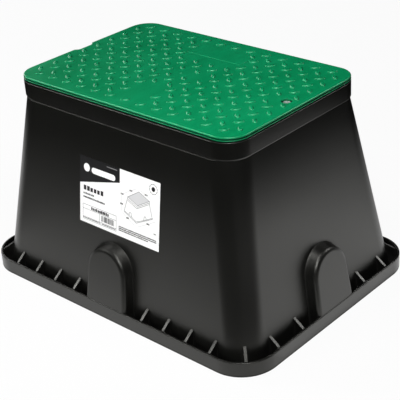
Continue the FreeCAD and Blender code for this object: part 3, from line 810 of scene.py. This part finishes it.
def lid_rings():
    """The lid's section, from the tread plate over the edge and down round the skirt to the underside."""
    rows = []

    def plate(inset, z):
        rows.append(ring(LID_X - inset, LID_Y - inset, LID_CORNER - inset, z))

    def skirt(inset, z):
        rows.append(ring(COLLAR_X - inset, COLLAR_Y - inset, COLLAR_CORNER - inset, z))

    for inset, down in reversed(quarter(LID_ROUNDING, 6)):
        plate(inset, LID_TOP - down)
    for inset, rise in LID_EDGE:
        plate(inset, LID_UNDER + rise)
    plate(SEAT_INSET, RIM_Z)
    skirt(SKIRT_INSET, RIM_Z)
    skirt(SKIRT_INSET, SKIRT_FOOT + SKIRT_BEVEL)
    skirt(SKIRT_INSET + SKIRT_BEVEL, SKIRT_FOOT)
    skirt(SKIRT_INSET + SKIRT_WALL, SKIRT_FOOT)
    skirt(SKIRT_INSET + SKIRT_WALL, PLATE_UNDER)
    return rows


def lid_grid():
    """The ribs across, the ribs along, a little lower so that they share no plane, and the bolt boss."""
    span_x = COLLAR_X - SKIRT_INSET - SKIRT_WALL / 2
    span_y = COLLAR_Y - SKIRT_INSET - SKIRT_WALL / 2
    half, low, high = LID_RIB_HALF, LID_RIB_FOOT, PLATE_UNDER + LID_RIB_IN_PLATE
    across, along = bmesh.new(), bmesh.new()
    for step in range(-LID_RIBS_ACROSS, LID_RIBS_ACROSS + 1):
        x = step * LID_RIB_PITCH
        box(across, (x - half, -span_y, low), (x + half, span_y, high))
    low_along, high_along = low - LID_RIB_STEP, high - LID_RIB_STEP
    for step in range(-LID_RIBS_ALONG, LID_RIBS_ALONG + 1):
        y = step * LID_RIB_PITCH
        box(along, (-span_x, y - half, low_along), (span_x, y + half, high_along))
    return across, along, bolt_cylinder(BOSS_RADIUS, BOSS_FOOT, high)


def notch_tool():
    bm = bmesh.new()
    flare = (NOTCH_MOUTH - NOTCH_BACK) / 2 / NOTCH_DEPTH
    mouth, back = NOTCH_MOUTH / 2 + CUT_PAST * flare, NOTCH_BACK / 2
    out, inner, soft = -LID_X - CUT_PAST, -LID_X + NOTCH_DEPTH, NOTCH_SOFT
    plan = [
        (out, NOTCH_Y - mouth),
        (inner - soft, NOTCH_Y - back - soft * flare),
        (inner - soft * 0.3, NOTCH_Y - back + soft * 0.3),
        (inner, NOTCH_Y - back + soft * 1.2),
        (inner, NOTCH_Y + back - soft * 1.2),
        (inner - soft * 0.3, NOTCH_Y + back - soft * 0.3),
        (inner - soft, NOTCH_Y + back + soft * flare),
        (out, NOTCH_Y + mouth),
    ]
    prism(bm, at_height(plan, SKIRT_FOOT - CUT_PAST), (0, 0, LID_TOP - SKIRT_FOOT + 2 * CUT_PAST))
    return bm


def tread_places():
    """Centre and direction of each bar, left out in the smooth areas and at the bolt hole."""
    columns = int((LID_X - TREAD_MARGIN) // TREAD_X)
    rows = int((LID_Y - TREAD_MARGIN) // TREAD_Y)
    for column in range(-columns, columns + 1):
        for row in range(-rows, rows + 1):
            x, y = column * TREAD_X, row * TREAD_Y
            smooth_here = any(
                abs(x - a) < length / 2 and abs(y - b) < width / 2 for a, b, length, width in SMOOTH_AREAS
            )
            near_bolt = math.hypot(x - BOLT_X, y) < COUNTERBORE_RADIUS + BAR_CLEAR_OF_BOLT
            if (column + row) % 2 == 0 and not smooth_here and not near_bolt:
                yield x, y, math.radians(-45 if column % 2 else 45)


def bar_outline(share, segments=10):
    """A lens-shaped outline with slightly blunt tips, shrunk towards its ridge by a share."""
    a = BAR_HALF_LENGTH - BAR_HALF_WIDTH * (1 - share) * BAR_SHORTENING
    b = BAR_HALF_WIDTH * share
    points = []
    for side in (1, -1):
        for step in range(segments):
            u = 1 - 2 * step / segments
            points.append((side * u * a, side * b * ((1 - u * u) ** BAR_FULLNESS + BAR_TIP)))
    return points


def tread_bars():
    bm = bmesh.new()
    outlines = [at_height(bar_outline(share), LID_TOP + rise * BAR_HEIGHT) for share, rise in BAR_PROFILE]
    for x, y, angle in tread_places():
        skin(bm, [shifted(points, x, y, angle) for points in outlines])
    return bm


def moulding_marks():
    """A faint raised pad, and the mark the plastic was fed in at."""
    bm = bmesh.new()
    x, y, length, width = PAD
    rows = []
    for inset, rise in ((0, -PAD_SINK), (0, 0), (PAD_BEVEL, PAD_RISE)):
        points = ring(length / 2 - inset, width / 2 - inset, PAD_CORNER, LID_TOP + rise)
        rows.append([(a + x, b + y, z) for a, b, z in points])
    skin(bm, rows)
    x, y, radius = GATE_MARK
    rows = []
    for share, rise in GATE_PROFILE:
        rows.append([(x + a, y + b, LID_TOP + rise) for a, b in circle(radius * share, 20)])
    skin(bm, rows)
    return bm


def join(target, bm, degrees):
    """Adds the shells in a bmesh to the target as they are."""
    extra = make("extra", bm)
    smooth(extra, degrees)
    joined = bmesh.new()
    joined.from_mesh(target.data)
    joined.from_mesh(extra.data)
    joined.to_mesh(target.data)
    joined.free()
    mesh = extra.data
    bpy.data.objects.remove(extra)
    bpy.data.meshes.remove(mesh)


def build_lid(material):
    bm = bmesh.new()
    skin(bm, lid_rings())
    lid = make("green_lid", bm)
    for group in lid_grid():
        carve(lid, group, "UNION")
    low = SKIRT_FOOT - CUT_PAST
    inner, half = BOLT_X - LUG_REACH - LUG_CLEARANCE, LUG_HALF + LUG_CLEARANCE
    carve(lid, box_tool((inner, -half, low), (COLLAR_X, half, BOSS_FOOT)), "DIFFERENCE")
    bore = bolt_cylinder(COUNTERBORE_RADIUS, COUNTERBORE_FLOOR, LID_TOP + CUT_PAST)
    carve(lid, bore, "DIFFERENCE")
    carve(lid, bolt_cylinder(BOLT_HOLE_RADIUS, SKIRT_FOOT, LID_TOP), "DIFFERENCE")
    carve(lid, notch_tool(), "DIFFERENCE")
    gap_x, half = COLLAR_X - SKIRT_INSET - SKIRT_WALL - NOTCH_SKIRT_GAP, NOTCH_MOUTH / 2
    gap = box_tool((-LID_X, NOTCH_Y - half, low), (-gap_x, NOTCH_Y + half, PLATE_UNDER))
    carve(lid, gap, "DIFFERENCE")
    smooth(lid, LID_SHARP_ANGLE)
    even_normals(lid)
    join(lid, tread_bars(), BAR_SHARP_ANGLE)
    join(lid, moulding_marks(), MARK_SHARP_ANGLE)
    finish_piece(lid, material, "lid", "lid")


# Label, in millimetres on its own sheet: u from its left edge, v up from its lower edge
LABEL_LEFT, LABEL_FOOT_Z, LABEL_U, LABEL_V, LABEL_THICK = -69.5, 126.8, 157.8, 101.2, 0.26
LABEL_CORNER, LABEL_LIFT, INK_LIFT = 0.8, 0.01, 0.04
BLACK_FIELD = ((0, 59.6), (80.7, 80.2), (80.7, 101.2), (0, 101.2))
WHITE_BARS = (((8.0, 85.5), (20.5, 85.5), 12.5), ((24.0, 84.0), (72.0, 84.0), 9.0))
GREY_BARS = (((54.5, 97.2), (75.5, 97.2), 1.3),)
BOLD_LINES = ((7.6, 50.4, 42.0, 7.2, 6), (23.2, 22.4, 36.6, 4.6, 11))
FINE_LINES = (
    (7.0, 44.0, 22.4, 2.8, 9),
    (7.0, 38.3, 44.6, 2.8, 19),
    (6.6, 6.6, 36.0, 1.5, 22),
    (45.5, 6.6, 28.0, 1.5, 17),
    (79.6, 13.7, 73.4, 1.8, 44),
    (79.6, 11.0, 73.4, 1.8, 44),
    (79.6, 8.3, 58.0, 1.8, 35),
    (147.6, 23.2, 4.2, 1.6, 3),
)
TABLE_LINES = (
    ((6.1, 28.4), (74.5, 28.4)),
    ((6.1, 21.4), (74.5, 21.4)),
    ((6.1, 8.9), (74.5, 8.9)),
    ((6.1, 5.2), (74.5, 5.2)),
    ((6.1, 5.2), (6.1, 28.4)),
    ((74.5, 5.2), (74.5, 28.4)),
    ((40.3, 8.9), (40.3, 21.4)),
)
STRIPES_FROM, STRIPES_TO, STRIPES_LOW, STRIPES_HIGH = 44.6, 70.4, 11.2, 19.9
LID_DRAWING = ((96.9, 64.3), (118.2, 77.5), (138.4, 69.3), (115.8, 56.4))
BOX_LINES = (
    ((96.9, 64.3), (118.2, 77.5), (138.4, 69.3), (115.8, 56.4), (96.9, 64.3)),
    ((96.3, 64.0), (95.9, 59.5), (114.7, 51.7), (138.5, 65.0), (138.6, 69.0)),
    ((95.6, 59.3), (90.6, 42.6)),
    ((138.5, 65.0), (143.6, 47.6)),
    ((90.3, 41.6), (99.8, 38.2), (114.0, 31.7), (130.1, 38.9), (144.7, 46.5)),
    ((90.3, 41.6), (90.4, 40.3), (114.0, 29.8), (144.7, 45.0), (144.7, 46.5)),
    ((99.8, 38.2), (100.4, 41.3), (102.1, 42.5), (104.2, 41.0), (105.1, 36.0)),
    ((128.4, 38.1), (129.0, 42.9), (130.5, 44.8), (132.4, 43.6), (132.9, 40.2)),
    ((96.6, 61.8), (115.2, 54.0), (138.5, 67.2)),
)
SIZE_LINES = (
    ((84.8, 63.4), (84.8, 53.0)),
    ((84.8, 48.0), (84.8, 40.0)),
    ((88.0, 66.5), (99.5, 73.0)),
    ((105.8, 76.6), (112.9, 80.4)),
    ((122.1, 80.2), (129.5, 77.6)),
    ((134.5, 75.4), (141.7, 71.8)),
    ((86.8, 37.5), (94.0, 33.8)),
    ((99.8, 31.0), (109.5, 25.9)),
    ((118.0, 25.4), (133.0, 33.4)),
    ((140.0, 37.0), (150.5, 42.9)),
)
SIZE_BLOBS = ((102.6, 74.8), (85.7, 65.5), (131.9, 76.7), (84.8, 50.4), (97.0, 32.3), (136.5, 35.0))
BADGE_CENTRE, BADGE_RADIUS, BADGE_DASHES = (145.2, 88.8), 7.2, 10
BADGE_DOT = 3.4


class LabelSheet:
    """Places fields of colour on the leaning sheet and gathers them by ink."""

    def __init__(self):
        lean = math.atan(SLOPE_Y)
        wall_y = -(NECK_Y + SLOPE_Y * (LEDGE_Z - LABEL_FOOT_Z))
        self.origin = Vector((LABEL_LEFT, wall_y, LABEL_FOOT_Z))
        self.up = Vector((0, math.sin(lean), math.cos(lean)))
        self.out = Vector((0, -math.cos(lean), math.sin(lean)))
        self.fields = []

    def at(self, u, v, height):
        return (self.origin + Vector((u, 0, 0)) + self.up * v + self.out * height) * MM

    def field(self, ink, points, layer=1):
        height = LABEL_THICK + INK_LIFT * layer
        self.fields.append((ink, [self.at(u, v, height) for u, v in points]))

    def line(self, ink, start, end, width, layer=1):
        (u0, v0), (u1, v1) = start, end
        along = Vector((u1 - u0, v1 - v0)).normalized() * width / 2
        side = Vector((-along.y, along.x))
        u0, v0, u1, v1 = u0 - along.x, v0 - along.y, u1 + along.x, v1 + along.y
        corners = [(u0 - side.x, v0 - side.y), (u1 - side.x, v1 - side.y)]
        corners += [(u1 + side.x, v1 + side.y), (u0 + side.x, v0 + side.y)]
        self.field(ink, corners, layer)

    def bar(self, ink, start, end, width, layer=2):
        """A level bar with round ends."""
        (u0, v), (u1, _) = start, end
        r = width / 2
        points = [(u1 - r + r * math.cos(a), v + r * math.sin(a)) for a in turn_angles(-90, 90, 8)]
        points += [(u0 + r + r * math.cos(a), v + r * math.sin(a)) for a in turn_angles(90, 270, 8)]
        self.field(ink, points, layer)

    def blocks(self, ink, u, v, length, height, count, chance):
        """A row of small upright blocks, as a line of print looks from a distance."""
        pitch = length / count
        for i in range(count):
            width = pitch * chance.uniform(0.7, 0.92)
            tall = height * chance.choice((1.0, 1.0, 0.85))
            left, right, top = u + i * pitch, u + i * pitch + width, v + tall
            self.field(ink, [(left, v), (right, v), (right, top), (left, top)])


def turn_angles(start, end, steps):
    return [math.radians(start + (end - start) * i / steps) for i in range(steps + 1)]


def draw_label():
    chance = random.Random(7)
    sheet = LabelSheet()
    sheet.field("black_ink", BLACK_FIELD)
    for start, end, width in WHITE_BARS:
        sheet.bar("label_film", start, end, width)
    for start, end, width in GREY_BARS:
        sheet.bar("grey_ink", start, end, width)
    for u, v, length, height, count in BOLD_LINES:
        sheet.blocks("black_ink", u, v, length, height, count, chance)
    for u, v, length, height, count in FINE_LINES:
        sheet.blocks("dark_ink", u, v, length, height, count, chance)
    for start, end in TABLE_LINES:
        sheet.line("dark_ink", start, end, 0.45)
    u = STRIPES_FROM
    while u < STRIPES_TO:
        width = chance.choice((0.5, 0.8, 1.3, 1.9))
        right = min(u + width, STRIPES_TO)
        stripe = [(u, STRIPES_LOW), (right, STRIPES_LOW), (right, STRIPES_HIGH), (u, STRIPES_HIGH)]
        sheet.field("black_ink", stripe)
        u += width + chance.choice((0.5, 0.7, 1.2))
    sheet.field("pale_ink", LID_DRAWING)
    for points in BOX_LINES:
        for start, end in zip(points, points[1:]):
            sheet.line("grey_ink", start, end, 0.7, 2)
    for start, end in SIZE_LINES:
        sheet.line("pale_ink", start, end, 0.6)
    for u, v in SIZE_BLOBS:
        sheet.blocks("dark_ink", u - 2.6, v - 1.1, 5.4, 2.4, 3, chance)
    (cu, cv), r = BADGE_CENTRE, BADGE_RADIUS
    for i in range(BADGE_DASHES):
        angles = turn_angles(360 * i / BADGE_DASHES, 360 * (i + 0.66) / BADGE_DASHES, 3)
        for a, b in zip(angles, angles[1:]):
            start, end = [(cu + r * math.cos(c), cv + r * math.sin(c)) for c in (a, b)]
            sheet.line("dark_ink", start, end, 0.7)
    sheet.field("black_ink", [(cu + x, cv + y) for x, y in circle(BADGE_DOT, 24)])
    return sheet


def build_label(inks):
    sheet = draw_label()
    bm = bmesh.new()
    soft = LABEL_CORNER
    dark_foot, dark_right = BLACK_FIELD[0][1], BLACK_FIELD[1][0]
    outline = [
        (soft, 0),
        (LABEL_U - soft, 0),
        (LABEL_U, soft),
        (LABEL_U, LABEL_V - soft),
        (LABEL_U - soft, LABEL_V),
        (dark_right, LABEL_V),
        (0, LABEL_V),
        (0, dark_foot),
        (0, soft),
    ]
    skin(bm, [[sheet.at(u, v, height) for u, v in outline] for height in (LABEL_LIFT, LABEL_THICK)])
    bmesh.ops.recalc_face_normals(bm, faces=bm.faces)
    names = list(inks)
    for face in bm.faces:
        middle = face.calc_center_median() / MM - sheet.origin
        beside_dark = middle.x < dark_right and middle.dot(sheet.up) > dark_foot
        if abs(face.normal.dot(sheet.out)) < 0.5 and beside_dark:
            face.material_index = names.index("black_ink")
    for ink, points in sheet.fields:
        face = bm.faces.new([bm.verts.new(point) for point in points])
        face.material_index = names.index(ink)
        face.normal_update()
        if face.normal.dot(sheet.out) < 0:
            face.normal_flip()
    mesh = bpy.data.meshes.new("printed_label")
    bm.to_mesh(mesh)
    bm.free()
    for ink in inks.values():
        mesh.materials.append(ink)
    label = bpy.data.objects.new("printed_label", mesh)
    bpy.context.collection.objects.link(label)
    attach(label, "box")
    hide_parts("label")


# Lock bolt, washer and nut, in millimetres
HEAD_TOP, HEAD_UNDER, BOLT_TIP, HEAD_FLATS = 314.0, 310.0, 285.0, 10.0
THREAD_CREST, THREAD_ROOT, THREAD_PITCH, THREAD_TOP = 2.98, 2.45, 1.0, 308.0
THREAD_START, THREAD_END, THREAD_STEPS = 0.5, 1.6, 24
THREAD_PROFILE = (
    (THREAD_ROOT - 0.1, 0.02),
    (THREAD_CREST, 0.42),
    (THREAD_CREST, 0.58),
    (THREAD_ROOT - 0.1, 0.98),
)
CORE_SEGMENTS = 32
CORE_PROFILE = (
    (1.6, BOLT_TIP),
    (THREAD_ROOT, BOLT_TIP + 0.7),
    (THREAD_ROOT, THREAD_TOP - 0.4),
    (THREAD_CREST, THREAD_TOP),
    (THREAD_CREST, HEAD_UNDER),
)
# How far a hexagon's corners stand out from the circle that fits it, and the steps of a chamfer
HEX_CORNER, CHAMFER_STEPS = 0.78, 6
HEAD_CHAMFER_UNDER, HEAD_CHAMFER_TOP, HEAD_CIRCLE_INSET = 0.28, 0.5, 0.2
HEAD_DISH = ((0.8, 0.12), (1.1, 0.3))
WASHER_RADIUS, WASHER_BORE, WASHER_TOP = 6.0, 3.2, 310.0
WASHER_LIFT, WASHER_EDGE, WASHER_BORE_EDGE = 0.02, 0.2, 0.15
NUT_SEAT, NUT_CREST, NUT_BORE = 289.6, 294.8, 3.05
NUT_ACROSS, NUT_CIRCLE, NUT_CORNER, NUT_CHAMFER, NUT_STEPS, NUT_BORE_EDGE = 10.0, 4.8, 0.98, 0.5, 5, 0.4
STEEL_SHARP_ANGLE, ROUND_SHARP_ANGLE = 28, 30


def hex_ring(flats, limit, z, segments=ROUND_SEGMENTS):
    """A hexagon's outline, cut round where it would reach further out than a limit."""
    points = []
    for i in range(segments):
        angle = 2 * math.pi * i / segments
        from_flat = (angle + math.pi / 6) % (math.pi / 3) - math.pi / 6
        reach = min(flats / 2 / math.cos(math.pi / 6 - abs(from_flat)), limit)
        points.append((BOLT_X + reach * math.cos(angle), reach * math.sin(angle), z))
    return points


def circle_ring(radius, z, segments=ROUND_SEGMENTS):
    return hex_ring(4 * radius, radius, z, segments)


def build_bolt(material):
    bm = bmesh.new()
    rows = [circle_ring(0.05, HEAD_UNDER), circle_ring(THREAD_CREST, HEAD_UNDER)]
    fit = HEAD_FLATS / 2
    rows.append(hex_ring(HEAD_FLATS, fit, HEAD_UNDER))
    shares = [step / CHAMFER_STEPS for step in range(CHAMFER_STEPS + 1)]
    for share in shares:
        limit, z = fit + HEX_CORNER * share, HEAD_UNDER + HEAD_CHAMFER_UNDER * share
        rows.append(hex_ring(HEAD_FLATS, limit, z))
    top_fit = fit - HEAD_CIRCLE_INSET
    for share in reversed(shares):
        limit = top_fit + (HEX_CORNER + HEAD_CIRCLE_INSET) * share
        rows.append(hex_ring(HEAD_FLATS, limit, HEAD_TOP - HEAD_CHAMFER_TOP * share))
    for inset, down in HEAD_DISH:
        rows.append(circle_ring(fit - inset, HEAD_TOP - down))
    skin(bm, rows)
    bolt = make("lock_bolt_m6", bm)
    smooth(bolt, STEEL_SHARP_ANGLE)
    core = bmesh.new()
    skin(core, [circle_ring(radius, z, CORE_SEGMENTS) for radius, z in CORE_PROFILE])
    join(bolt, core, ROUND_SHARP_ANGLE)
    thread = bmesh.new()
    rows = []
    length = THREAD_TOP - BOLT_TIP - THREAD_END
    for i in range(int(length / THREAD_PITCH * THREAD_STEPS)):
        angle = 2 * math.pi * i / THREAD_STEPS
        c, s = math.cos(angle), math.sin(angle)
        z = BOLT_TIP + THREAD_START + THREAD_PITCH * i / THREAD_STEPS
        rows.append([(BOLT_X + r * c, r * s, z + h * THREAD_PITCH) for r, h in THREAD_PROFILE])
    skin(thread, rows)
    join(bolt, thread, ROUND_SHARP_ANGLE)
    finish_piece(bolt, material, "bolt", "lock_bolt")


def build_washer(material):
    bm = bmesh.new()
    low, high, edge = COUNTERBORE_FLOOR + WASHER_LIFT, WASHER_TOP, WASHER_EDGE
    profile = (
        (WASHER_BORE, low),
        (WASHER_RADIUS - edge, low),
        (WASHER_RADIUS, low + edge),
        (WASHER_RADIUS, high - edge),
        (WASHER_RADIUS - edge, high),
        (WASHER_BORE + WASHER_BORE_EDGE, high),
        (WASHER_BORE, high - WASHER_BORE_EDGE),
    )
    skin(bm, [circle_ring(radius, z) for radius, z in profile], closed=True)
    washer = make("plain_washer", bm)
    smooth(washer, ROUND_SHARP_ANGLE)
    finish_piece(washer, material, "bolt", "bolt_washer")


def build_nut(material):
    bm = bmesh.new()
    edge = NUT_BORE_EDGE
    shares = [step / NUT_STEPS for step in range(NUT_STEPS + 1)]
    rows = [circle_ring(NUT_BORE + edge, NUT_SEAT), circle_ring(NUT_CIRCLE, NUT_SEAT)]
    limits = [(NUT_CIRCLE + NUT_CORNER * share, NUT_CHAMFER * share) for share in shares]
    rows += [hex_ring(NUT_ACROSS, limit, NUT_SEAT + rise) for limit, rise in limits[1:]]
    rows += [hex_ring(NUT_ACROSS, limit, NUT_CREST - drop) for limit, drop in reversed(limits)]
    rows += [circle_ring(NUT_BORE + edge, NUT_CREST), circle_ring(NUT_BORE, NUT_CREST - edge)]
    rows.append(circle_ring(NUT_BORE, NUT_SEAT + edge))
    skin(bm, rows, closed=True)
    nut = make("captive_nut", bm)
    smooth(nut, STEEL_SHARP_ANGLE)
    finish_piece(nut, material, "box", "lock_nut")


def finish_piece(piece, material, body, node):
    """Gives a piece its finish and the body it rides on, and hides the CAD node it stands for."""
    piece.data.materials.clear()
    piece.data.materials.append(material)
    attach(piece, body)
    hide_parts(node)


bpy.context.scene.view_settings.view_transform = "Standard"
add_camera()
add_floor()
add_flags()
add_world(ROOM_LEVEL)
for lights, glossy in ((FILL_LIGHTS, False), (GLOSS_LIGHTS, True)):
    for light in lights:
        add_softbox(*light, glossy)

build_body(black_plastic())
build_lid(green_plastic())
steel = zinc()
build_bolt(steel)
build_washer(steel)
build_nut(steel)
build_label(
    {
        "label_film": film(),
        "black_ink": ink("black_ink", 20),
        "dark_ink": ink("dark_ink", 38),
        "grey_ink": ink("grey_ink", 125),
        "pale_ink": ink("pale_ink", 205),
    }
)
